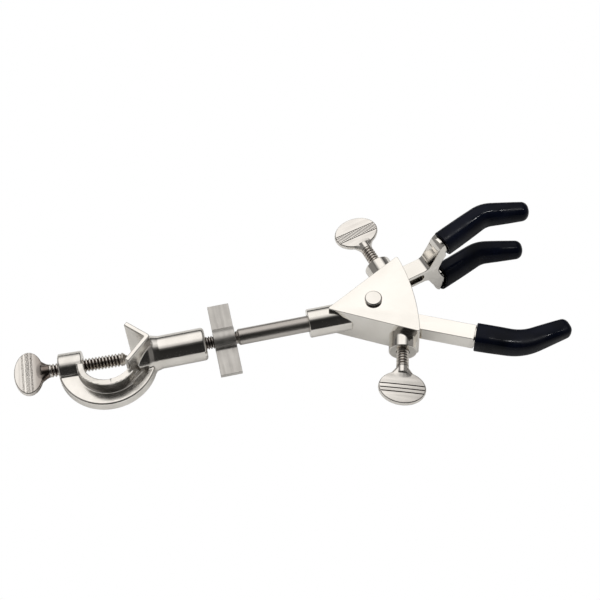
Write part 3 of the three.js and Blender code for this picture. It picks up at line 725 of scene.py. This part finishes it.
def head_fan(neck_end, neck_radius, width, length, thickness, fan_reach):
    """The web between a head's neck and its disc: it widens and flattens as it goes."""
    lap, within, disc_within, half_flat = 0.3, 0.99, 0.96, 0.4
    rim = math.sqrt(1 - (1 - 2 * fan_reach) ** 2) * width / 2
    rings = []
    for share in (i / 12 for i in range(13)):
        along = neck_end - lap - share * (SPIGOT_LENGTH + length * fan_reach)
        half_width = neck_radius * within + (rim * disc_within - neck_radius) * share ** 1.2
        flat = thickness * half_flat
        half_height = flat + (neck_radius * within - flat) * (1 - share) ** 1.3
        rings.append([(along, half_width * c, half_height * s) for c, s in arc((0, 0), 1, 0, 345, 23)])
    return loft("fan", rings[::-1])


def spade_head(name, width, length, thickness, inner_edge, neck_radius, fan_reach, faces=(), vees=()):
    """A thumb head that fans out from its neck over a share of its length.
    faces gives the cutters' maker for the top and the underside, vees the places of its grooves."""
    centre = -inner_edge - length / 2
    neck_end = -inner_edge + SPIGOT_LENGTH
    disc = placed(lens(name, width, length, thickness), centre)
    neck = pin("neck", -inner_edge - PAST, neck_end, neck_radius)
    head = joined(disc, neck, head_fan(neck_end, neck_radius, width, length, thickness, fan_reach))
    head.name = name
    cast(head, voxel=0.2, rounds=4)
    core = placed(lens("core", width, length, thickness, ENGRAVING_DEPTH), centre)
    for top, cutters in zip((True, False), faces):
        engraved(head, core, cutters(centre, length, width), top)
    bpy.data.objects.remove(core)
    cut(head, *grooves(centre, length, width, thickness, vees))
    cut(head, pin("socket", -inner_edge - GAP, neck_end + PAST, SPIGOT_RADIUS + GAP))
    head.data.set_sharp_from_angle(angle=math.radians(30))
    note_grooves(head, [face_dip(v.co / MM, centre, length, width, thickness) for v in head.data.vertices])
    return head


def grooves(centre, length, width, thickness, offsets):
    """V cutters across the head that follow its crown, at shares of its length from its middle."""
    clear, beyond_rim = 0.25, 1.02
    reach = VEE_HALF_WIDTH * (VEE_DEPTH + clear) / VEE_DEPTH
    cutters = []
    for offset in offsets:
        x = centre + offset * length
        rings = []
        for step in range(25):
            across = (step / 12 - 1) * beyond_rim
            height = lens_height(min(RIM_START, math.hypot(2 * offset, across)), thickness)
            y = across * width / 2
            top = height + clear
            rings.append([(x - reach, y, top), (x, y, height - VEE_DEPTH), (x + reach, y, top)])
        vee = loft("vee", rings)
        twin = copied(vee)
        twin.data.transform(Matrix.Diagonal((1, 1, -1, 1)))
        twin.data.flip_normals()
        cutters += [vee, twin]
    return cutters


def ribbed(centre, length, width):
    return rib_lines(centre, length, width, (0.07, -0.05, -0.16), line=0.6)


def banded(centre, length, width):
    low, high, margin = -0.08, 0.16, 0.02
    return (rib_lines(centre, length, width, (low, high), line=0.45)
            + knurl_lines(centre, length, width, low + margin, high - margin))


def shank(name, radius, inner_edge, pitch, tip):
    """A threaded shank with a turned-down end that sits in its head."""
    shoulder = -inner_edge + SPIGOT_LENGTH + GAP
    thread_end = tip[0][0]
    stations = [(-inner_edge, SPIGOT_RADIUS), (shoulder, SPIGOT_RADIUS), (shoulder, radius)]
    thread = (shoulder, thread_end, pitch, pitch * THREAD_DEPTH_SHARE)
    return crisp(turned(name, stations + tip, thread=thread))


def ball_tip(radius):
    return [(-radius + radius * math.sin(a), radius * math.cos(a)) for a in quarter_turn(12)]


def boss_screw():
    inner_edge = BOSS_SCREW_TIP - BOSS_SCREW_HEAD_EDGE
    tip = [(-2.0, BOSS_SCREW_RADIUS), (-0.6, 1.9), (0, 1.7)]
    body = shank("boss_screw", BOSS_SCREW_RADIUS, inner_edge, BOSS_SCREW_PITCH, tip)
    head = spade_head("boss_thumb_head", width=23.8, length=14.4, thickness=3.4, inner_edge=inner_edge,
                      neck_radius=3.3, fan_reach=0.36, vees=(-0.19, -0.07, 0.0, 0.11))
    for obj in (body, head):
        tilted(placed(obj, BOSS_SCREW_TIP))
    finished(body, SCREW, "boss_shank", "boss_screw_shank")
    finished(head, BOSS_HEAD, "boss_head", "boss_screw_head")


def arm_screw(prefix, side, depth, spin, faces, material):
    """depth is how far the tip stands inside the wall's outer face."""
    tilt = math.radians(ARM_SCREW_TILT)
    inward = Vector((math.sin(tilt), -math.cos(tilt)))
    tip_point = ARM_SCREW_WALL_POINT + inward * depth
    body = shank(f"{prefix}_arm_screw", ARM_SCREW_RADIUS, ARM_SCREW_HEAD_OFFSET, ARM_SCREW_PITCH,
                 ball_tip(ARM_SCREW_RADIUS))
    head = spade_head(f"{prefix}_arm_thumb_head", width=23.1, length=17.7, thickness=3.2,
                      inner_edge=ARM_SCREW_HEAD_OFFSET, neck_radius=3.0, fan_reach=0.3, faces=faces)
    placed(head, turn=spin, axis="X")
    for obj in (body, head):
        placed(obj, PIVOT_X + tip_point.x, side * tip_point.y, turn=-side * (90 - ARM_SCREW_TILT))
    finished(body, SCREW, f"{prefix}_shank", f"{prefix}_screw_shank")
    finished(head, material, f"{prefix}_head", f"{prefix}_screw_head")


# ---- rod and lock nut ----
def rod():
    chamfer = 0.7
    lead = 0.6
    thread_start = ROD_THREAD_START + lead
    obj = turned("clamp_rod", [
        (ROD_THREAD_START, ROD_THREAD_RADIUS - lead), (thread_start, ROD_THREAD_RADIUS),
        (ROD_SHOULDER, ROD_THREAD_RADIUS), (ROD_SHOULDER, ROD_RADIUS - chamfer),
        (ROD_SHOULDER + chamfer, ROD_RADIUS), (PIVOT_X + ROD_END, ROD_RADIUS),
    ], thread=(thread_start, ROD_SHOULDER, ROD_THREAD_PITCH, ROD_THREAD_PITCH * THREAD_DEPTH_SHARE))
    finished(crisp(obj), STEEL, "rod_assembly", "rod")


def lock_nut():
    """A flat bar with a round hub, filleted where they meet, and a plain bore."""
    half = NUT_WING_THICKNESS / 2
    fillet = 1.5
    centre_x = math.sqrt((NUT_HUB_RADIUS + fillet) ** 2 - (half + fillet) ** 2)
    lean = math.degrees(math.atan2(half + fillet, centre_x))
    quarter = [
        (NUT_HALF_SPAN, half),
        *arc((centre_x, half + fillet), fillet, -90, lean - 180, 8),
        *arc((0, 0), NUT_HUB_RADIUS, lean, 90, 16),
    ]
    upper = quarter + [(-x, y) for x, y in quarter[-2::-1]]
    outline = upper + [(-x, -y) for x, y in upper]
    obj = prism("lock_nut_bar", outline, NUT_START, NUT_END, 0.3, 3)
    z_to_x = Matrix(((0, 0, 1, 0), (1, 0, 0, 0), (0, 1, 0, 0), (0, 0, 0, 1)))
    obj.data.transform(z_to_x)
    bore = pin("bore", NUT_START - PAST, NUT_END + PAST, ROD_THREAD_RADIUS + GAP)
    finished(crisp(cut(obj, bore)), DULL, "nut", "lock_nut")


# ---- jaw housing, from the pivot ----
def housing_outline(inset, overrun=0.0):
    """Three rounded corners, two straight walls and a bowed front that may run further out."""
    back = HOUSING_BACK + inset / math.sin(WALL_ANGLE)
    front = HOUSING_FRONT + overrun
    half = (front - back) * math.tan(WALL_ANGLE)
    along = CORNER_RADIUS * math.cos(WALL_ANGLE)
    across = CORNER_RADIUS * math.sin(WALL_ANGLE)
    bow = 2 * FRONT_SAGITTA
    start_of_bow = 0.3
    lip = front + start_of_bow
    return [
        *bend((front - along, half - across), (front, half), (lip, half - CORNER_RADIUS), 6),
        *bend((lip, half - CORNER_RADIUS), (front + bow, 0), (lip, CORNER_RADIUS - half), 40)[1:],
        *bend((lip, CORNER_RADIUS - half), (front, -half), (front - along, across - half), 6)[1:],
        *bend((back + along, -across), (back, 0), (back + along, across), 6),
    ]


def along_arm_screw(name, side, start, end, radius, rim=0.0):
    turn = side * (90 + ARM_SCREW_TILT)
    return placed(pin(name, start, end, radius, rim),
                  ARM_SCREW_WALL_POINT.x, side * ARM_SCREW_WALL_POINT.y, turn=turn)


def housing():
    inner = HOUSING_HALF_HEIGHT - PLATE_THICKNESS
    wide = 60
    shell = prism("jaw_housing", housing_outline(0), -HOUSING_HALF_HEIGHT, HOUSING_HALF_HEIGHT, 0.3, 3)
    collar = pin("collar", COLLAR_START, COLLAR_END, COLLAR_RADIUS, 0.45)
    bosses = [along_arm_screw("boss", side, -2, ARM_BOSS_LENGTH, ARM_BOSS_RADIUS, 0.4) for side in (1, -1)]
    room = common(
        prism("room", housing_outline(WALL_THICKNESS, 12), -inner, inner),
        block("front", (CAVITY_BACK, -wide, -inner - PAST), (CAVITY_BACK + wide, wide, inner + PAST)))
    body = cut(joined(shell, collar, *bosses), room)
    bores = [
        along_arm_screw("bore", side, -6, ARM_BOSS_LENGTH + PAST, ARM_SCREW_RADIUS + GAP) for side in (1, -1)
    ]
    socket = pin("socket", COLLAR_START - PAST, ROD_END + GAP, ROD_RADIUS + GAP)
    hole = column("hole", RIVET_RADIUS + GAP, -HOUSING_HALF_HEIGHT - PAST, HOUSING_HALF_HEIGHT + PAST)
    cut(body, *bores, socket, hole)
    finished(crisp(placed(body, PIVOT_X)), NICKEL, "rod_assembly", "housing")


def pivot_rivet():
    seat = HOUSING_HALF_HEIGHT + SEAT_GAP
    top = seat + RIVET_HEAD_HEIGHT
    rounded = [(top - back, RIVET_HEAD_RADIUS - inward) for back, inward in rounded_rim(0.75, 7)[::-1]]
    half = [(top, 1.0), *rounded, (seat, RIVET_HEAD_RADIUS), (seat, RIVET_RADIUS)]
    profile = [(-along, radius) for along, radius in half] + half[::-1]
    obj = placed(turned("rivet", profile), PIVOT_X, turn=-90, axis="Y")
    finished(crisp(obj), NICKEL, "rod_assembly", "pivot_rivet")


def pivot_spacer():
    low = PLATE_THICKNESS - HOUSING_HALF_HEIGHT + SEAT_GAP
    high = -ARM_HALF_HEIGHT - SEAT_GAP
    hole = column("hole", RIVET_RADIUS + GAP, low - PAST, high + PAST)
    ring = cut(column("spacer", SPACER_RADIUS, low, high, 0.25), hole)
    finished(crisp(placed(ring, PIVOT_X)), STEEL, "rod_assembly", "pivot_spacer")


# ---- fingers ----
class Finger:
    """A finger that bends once. Its section is a superellipse with its width in the plane of the swing,
    and its mouth leans back by a share of the distance above the middle of the section."""

    def __init__(self, root, knee, tip, knee_reach, widths, heights, squareness, dome, lean):
        root, knee, tip = Vector(root), Vector(knee), Vector(tip)
        before = knee - (knee - root).normalized() * knee_reach
        after = knee + (tip - knee).normalized() * knee_reach
        self.points = [root] + [Vector(p) for p in bend(before, knee, after, 40)] + [tip]
        self.lengths = [0.0]
        for a, b in zip(self.points, self.points[1:]):
            self.lengths.append(self.lengths[-1] + (b - a).length)
        self.length = self.lengths[-1]
        self.widths, self.heights = widths, heights
        self.squareness, self.dome, self.lean = squareness, dome, lean

    def at(self, along):
        """The centre line's point and direction at a distance from the root."""
        k = 0
        while k < len(self.points) - 2 and self.lengths[k + 1] < along:
            k += 1
        step = self.points[k + 1] - self.points[k]
        direction = step.normalized()
        return self.points[k] + direction * (along - self.lengths[k]), direction

    def ring(self, along, inset, scale=1.0):
        centre, direction = self.at(along)
        side = Vector((direction.y, -direction.x, 0)).normalized()
        taper = min(1.0, max(0.0, along / self.length)) ** 2
        half_width, half_height = (
            ((root + (tip - root) * taper) / 2 - inset) * scale for root, tip in (self.widths, self.heights)
        )
        lean = self.lean * min(1.0, max(0.0, 1 - along / MOUTH_FADE))
        ring = []
        for corner in circle(SLEEVE_SIDES):
            across, up = (math.copysign(abs(v) ** (2 / self.squareness), v) for v in corner)
            rise = half_height * up
            backward = direction * lean * rise
            ring.append(centre + side * half_width * across + Vector((0, 0, rise)) - backward)
        return ring

    def rings(self, start, end, inset):
        """Rings from start to a domed end, which stops short of a point."""
        steps = 40
        nearly, fullness = 0.98, 0.75
        dome_start = end - self.dome
        rings = [self.ring(start + (dome_start - start) * i / steps, inset) for i in range(steps + 1)]
        for turn in quarter_turn(12)[1:]:
            scale = math.cos(turn * nearly) ** fullness
            rings.append(self.ring(dome_start + self.dome * math.sin(turn * nearly), inset, scale))
        return rings

    def core(self, before):
        short = SLEEVE_WALL + GAP
        return placed(loft("core", self.rings(-before, self.length - short, short)[::-1]), PIVOT_X)

    def sleeve(self, name):
        """The vinyl sleeve: outside, a rounded mouth and a stretch of its inside."""
        lip_length, lip_round = 0.45, 0.75
        outside = self.rings(lip_length, self.length, 0)
        lip = [
            self.ring(lip_length * (1 - math.sin(a)), lip_round * (1 - math.cos(a))) for a in quarter_turn(6)
        ]
        inside = [self.ring(along, SLEEVE_WALL) for along in (0.5, 3, 6, 9)]
        obj = placed(loft(name, outside[::-1] + lip[1:] + inside), PIVOT_X)
        obj.data.shade_smooth()
        return obj


def prong(side):
    return Finger(
        root=(40.2, 21.85, side * 14.38), knee=(64.1, 33.3, side * 16), tip=(87, 30.5, side * 16.3),
        knee_reach=4, widths=(11.6, 8.7), heights=(13.6, 8.6), squareness=2.5, dome=3.6, lean=side * 0.2)


BAR_START = Vector((19.8, -13.7))
BAR_END = Vector((44.75, -25.85))
LONE_FINGER = Finger(
    root=(*BAR_END, 0), knee=(65.4, -35, 0), tip=(91, -30.3, 0),
    knee_reach=7, widths=(12.2, 8.6), heights=(12.2, 7.2), squareness=3.4, dome=3.4, lean=0)


# ---- arms, from the pivot ----
def lapped(bar, side):
    """A bar with its eye at the pivot and the half cut away that the other arm's eye fills."""
    low, high = (LAP_GAP, ARM_HALF_HEIGHT) if side > 0 else (-ARM_HALF_HEIGHT, -LAP_GAP)
    past_arm = ARM_HALF_HEIGHT + PAST
    away = (-past_arm, LAP_GAP) if side > 0 else (-LAP_GAP, past_arm)
    cut(bar, column("away", LAP_CLEARANCE_RADIUS, *away))
    joined(bar, column("eye", HUB_RADIUS, low, high, 0.1))
    return cut(bar, column("hole", RIVET_RADIUS + GAP / 2, -past_arm, past_arm))


def in_stem_frame(obj):
    """Takes an outline drawn along and across the stem, raised across it, to its place on the arm."""
    placed(obj, turn=90, axis="X")
    return placed(obj, STEM_ORIGIN.x, STEM_ORIGIN.y, turn=STEM_ANGLE)


def fork_lever():
    """The bar from the pivot, along the housing's wall and then along the stem into the plate."""
    def wall_y(x, off):
        return (x - HOUSING_BACK) * math.tan(WALL_ANGLE) - off / math.cos(WALL_ANGLE)

    def beside_stem(along, side):
        turn = math.radians(STEM_ANGLE)
        direction = Vector((math.cos(turn), math.sin(turn)))
        across = Vector((-direction.y, direction.x))
        return tuple(STEM_ORIGIN + direction * along + across * side * ARM_WIDTH / 2)

    off = WALL_THICKNESS + STOP_GAP
    stem_start = -4
    stem_end = FORK_CROTCH - 1
    return prism("fork_arm_bar", [
        (-4, 4.4), (4.5, wall_y(4.5, off + 0.4)), (6, wall_y(6, off)), (13, wall_y(13, off)),
        beside_stem(stem_start, 1), beside_stem(stem_end, 1),
        beside_stem(stem_end, -1), beside_stem(stem_start, -1), (5.6, 3.4),
    ], -ARM_HALF_HEIGHT, ARM_HALF_HEIGHT, 0.3, 3)


def fork_plate():
    """The flared plate: a ramp out from the stem, a knee, and the end under the sleeve, on both sides."""
    half = ARM_HALF_HEIGHT
    upper = [
        *bend((8.6, half), (11.4, half + 0.2), (12.3, half + 2.5), 8),
        *bend((15.4, 13.2), (16.8, 17.6), (FORK_END, FORK_HALF_SPAN), 10),
        *bend((FORK_END + 2, 9.5), (FORK_CROTCH + 1, 5), (FORK_CROTCH, 0), 14)[:-1],
    ]
    outline = upper + [(FORK_CROTCH, 0)] + [(x, -y) for x, y in upper[::-1]]
    return in_stem_frame(prism("plate", outline, -ARM_WIDTH / 2, ARM_WIDTH / 2, 0.35, 3))


def stem_recess():
    """Round-ended recess along the inner face of the stem."""
    radius, depth, start, end = 2.3, 4, -6, 6.4
    outline = [(start, -radius), *arc((end, 0), radius, -90, 90), (start, radius)]
    return in_stem_frame(prism("recess", outline, ARM_WIDTH / 2 - depth, ARM_WIDTH / 2 + PAST))


def fork_arm():
    body = joined(lapped(fork_lever(), 1), fork_plate())
    cut(body, stem_recess())
    placed(body, PIVOT_X)
    joined(body, prong(1).core(2), prong(-1).core(2))
    finished(crisp(body), NICKEL, "fork", "fork_arm")
    for side, which in ((1, "upper"), (-1, "lower")):
        finished(prong(side).sleeve(f"{which}_prong_cover"), VINYL, "fork", f"{which}_prong_sleeve")


def single_arm():
    along = (BAR_END - BAR_START).normalized()
    across = Vector((-along.y, along.x)) * ARM_WIDTH / 2
    past_pivot = 20
    start = BAR_START - along * past_pivot
    end = BAR_END - along * GAP
    outline = [tuple(p) for p in (start + across, start - across, end - across, end + across)]
    bar = prism("single_arm_bar", outline, -ARM_HALF_HEIGHT, ARM_HALF_HEIGHT, 0.35, 3)
    body = placed(lapped(bar, -1), PIVOT_X)
    joined(body, LONE_FINGER.core(3))
    finished(crisp(body), NICKEL, "single", "single_arm")
    finished(LONE_FINGER.sleeve("single_finger_cover"), VINYL, "single", "single_finger_sleeve")


# ---- torsion spring ----
def spring_line():
    """The wire's centre line, from the hook on the single arm to the hook on the fork arm."""
    low = ARM_HALF_HEIGHT + SPRING_WIRE_RADIUS + GAP
    sweep = SPRING_END_ANGLE - SPRING_START_ANGLE
    pitch = 2.1 * SPRING_WIRE_RADIUS
    rise = pitch * sweep / (2 * math.pi)
    steps = 120

    def coil(angle, z):
        return Vector((SPRING_COIL_RADIUS * math.cos(angle), SPRING_COIL_RADIUS * math.sin(angle), z))

    def leg(angle, z, away):
        return coil(angle, z) + Vector((-math.sin(angle), math.cos(angle), 0)) * away

    def hook(angle, z, side):
        straight = [leg(angle, z, side * share * SPRING_LEG) for share in (0.2, 0.4, 0.6, 0.8, 0.93)]
        return straight + [leg(angle, z - drop, side * SPRING_LEG) for drop in (0.6, 1.2, z - 2)]

    turns = [
        coil(SPRING_START_ANGLE + sweep * i / steps, low + rise * i / steps) for i in range(steps + 1)
    ]
    return hook(SPRING_START_ANGLE, low, -1)[::-1] + turns + hook(SPRING_END_ANGLE, low + rise, 1)


def wire(name, line, radius):
    rings = []
    for k, point in enumerate(line):
        direction = (line[min(k + 1, len(line) - 1)] - line[max(k - 1, 0)]).normalized()
        side = direction.orthogonal() if k == 0 else (side - direction * side.dot(direction))
        side.normalize()
        up = direction.cross(side)
        rings.append([
            point + (side * cosine + up * sine) * radius for cosine, sine in circle(SPRING_WIRE_SIDES)
        ])
    obj = placed(loft(name, rings), PIVOT_X)
    obj.data.shade_smooth()
    return obj


def torsion_spring():
    """Two halves of one wire, split at its middle: the first runs to the hook on the single arm, the second
    to the hook on the fork arm.
    """
    line = spring_line()
    middle = len(line) // 2
    halves = (("spring_to_single", line[:middle + 1], "single", line[0]),
              ("spring_to_fork", line[middle:], "fork", line[-1]))
    for name, part, body, end in halves:
        obj = finished(wire(name, part, SPRING_WIRE_RADIUS), SPRING, None, "torsion_spring")
        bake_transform(obj)


# ---- studio ----
def studio_world():
    """A softbox overhead that leans to the back, dark low down in front and grey off to both sides."""
    lean = math.radians(34)
    wobble = 0.14
    narrowing = -0.35
    walls_start, walls_full = 0.3, 0.5
    stops = ((0.0, 0.03), (0.60, 0.02), (0.76, 0.10), (0.86, 0.55), (0.95, 0.95), (1.0, 1.2))
    warmth = (1, 0.985, 0.965)
    wall_grey = (0.25, 0.245, 0.24, 1)
    world = bpy.data.worlds.new("studio")
    bpy.context.scene.world = world
    world.use_nodes = True
    tree = world.node_tree

    def add(kind, inputs, **settings):
        return add_node(tree, kind, inputs, **settings)

    def worked(operation, *values):
        return add("ShaderNodeMath", dict(enumerate(values)), operation=operation).outputs["Value"]

    direction = add("ShaderNodeTexCoord", {}).outputs["Generated"]
    warp = add("ShaderNodeTexNoise", {"Vector": direction, "Scale": 2.2, "Detail": 2.0}).outputs["Fac"]
    overhead = add("ShaderNodeVectorMath", {0: direction, 1: (0.0, math.sin(lean), math.cos(lean))},
                   operation="DOT_PRODUCT").outputs["Value"]
    x = add("ShaderNodeSeparateXYZ", {"Vector": direction}).outputs["X"]
    sideways = worked("MULTIPLY", x, x)
    height = worked("MULTIPLY_ADD", sideways, narrowing, worked("MULTIPLY_ADD", warp, wobble, overhead))
    ramp = add("ShaderNodeValToRGB", {"Fac": height})
    elements = ramp.color_ramp.elements
    while len(elements) < len(stops):
        elements.new(0.5)
    for element, (position, value) in zip(elements, stops):
        element.position = position
        element.color = (*(value * share for share in warmth), 1)
    spread = add("ShaderNodeMapRange", {"Value": sideways, "From Min": walls_start, "From Max": walls_full})
    walls = add("ShaderNodeMixRGB", {
        "Fac": spread.outputs["Result"], "Color1": ramp.outputs["Color"], "Color2": wall_grey,
    }, blend_type="LIGHTEN")
    real = tree.nodes["Background"]
    tree.links.new(walls.outputs["Color"], real.inputs["Color"])
    white = add("ShaderNodeBackground", {"Color": (1, 1, 1, 1), "Strength": 1.0})
    show_camera(tree, "World Output", white.outputs["Background"], real.outputs["Background"])


def area_light(name, place, aim, size, power, glossy=True, only=()):
    """only names the pieces that show the light's reflection, if it doesn't light everything."""
    data = bpy.data.lights.new(name, "AREA")
    data.shape = "RECTANGLE"
    data.size, data.size_y = size
    data.energy = power
    obj = bpy.data.objects.new(name, data)
    obj.location = place
    obj.rotation_mode = "QUATERNION"
    obj.rotation_quaternion = (Vector(aim) - Vector(place)).to_track_quat("-Z", "Y")
    obj.visible_glossy = glossy
    obj.visible_camera = False
    if only:
        obj.visible_diffuse = False
        lit = bpy.data.collections.new(f"{name}_lit")
        for piece in only:
            lit.objects.link(bpy.data.objects[piece])
        obj.light_linking.receiver_collection = lit
    bpy.context.scene.collection.objects.link(obj)


def floor():
    reach = 3000
    level = -22.6
    corners = [(-reach, -reach, level), (reach, -reach, level), (reach, reach, level), (-reach, reach, level)]
    obj = made("floor", corners, [(0, 1, 2, 3)])
    obj.data.materials.append(floor_white())


def camera():
    """The photograph's viewpoint: place, azimuth and elevation of the view, roll and field of view."""
    place = Vector((0.03013, -0.36005, 0.56087))
    azimuth, elevation, roll, field = (math.radians(a) for a in (-8.65, 55.95, -3.68, 24.85))
    data = bpy.data.cameras.new("camera")
    data.sensor_width = 36
    data.angle = field
    obj = bpy.data.objects.new("camera", data)
    back = Vector((math.sin(azimuth) * math.cos(elevation), -math.cos(azimuth) * math.cos(elevation),
                   math.sin(elevation)))
    obj.location = place
    obj.rotation_mode = "QUATERNION"
    obj.rotation_quaternion = (-back).to_track_quat("-Z", "Y") @ Quaternion((0, 0, 1), roll)
    bpy.context.scene.collection.objects.link(obj)
    bpy.context.scene.camera = obj


def studio():
    floor()
    studio_world()
    area_light("floor_fill", (0.1, 0.0, 1.6), (0.1, 0, 0), (1.6, 1.6), 18, glossy=False)
    covers = ("upper_prong_cover", "lower_prong_cover", "single_finger_cover")
    lamps = (("mouth", (0.86, 0.15, 1.33)), ("knee", (0.62, 0.14, 1.33)), ("tip", (0.43, 0.15, 1.40)))
    for name, place in lamps:
        area_light(f"{name}_lamp", place, (0.19, 0, 0), (0.05, 0.05), 2.2, only=covers)
    camera()
    bpy.context.scene.view_settings.view_transform = "Standard"


# ---- everything ----
boss_casting()
boss_screw()
rod()
lock_nut()
housing()
pivot_rivet()
pivot_spacer()
fork_arm()
single_arm()
torsion_spring()
arm_screw("fork", 1, FORK_TIP_DEPTH, 0, (banded, ribbed), FORK_HEAD)
arm_screw("single", -1, SINGLE_TIP_DEPTH, SINGLE_HEAD_SPIN, (ribbed, banded), SINGLE_HEAD)
studio()

bpy.context.view_layer.update()
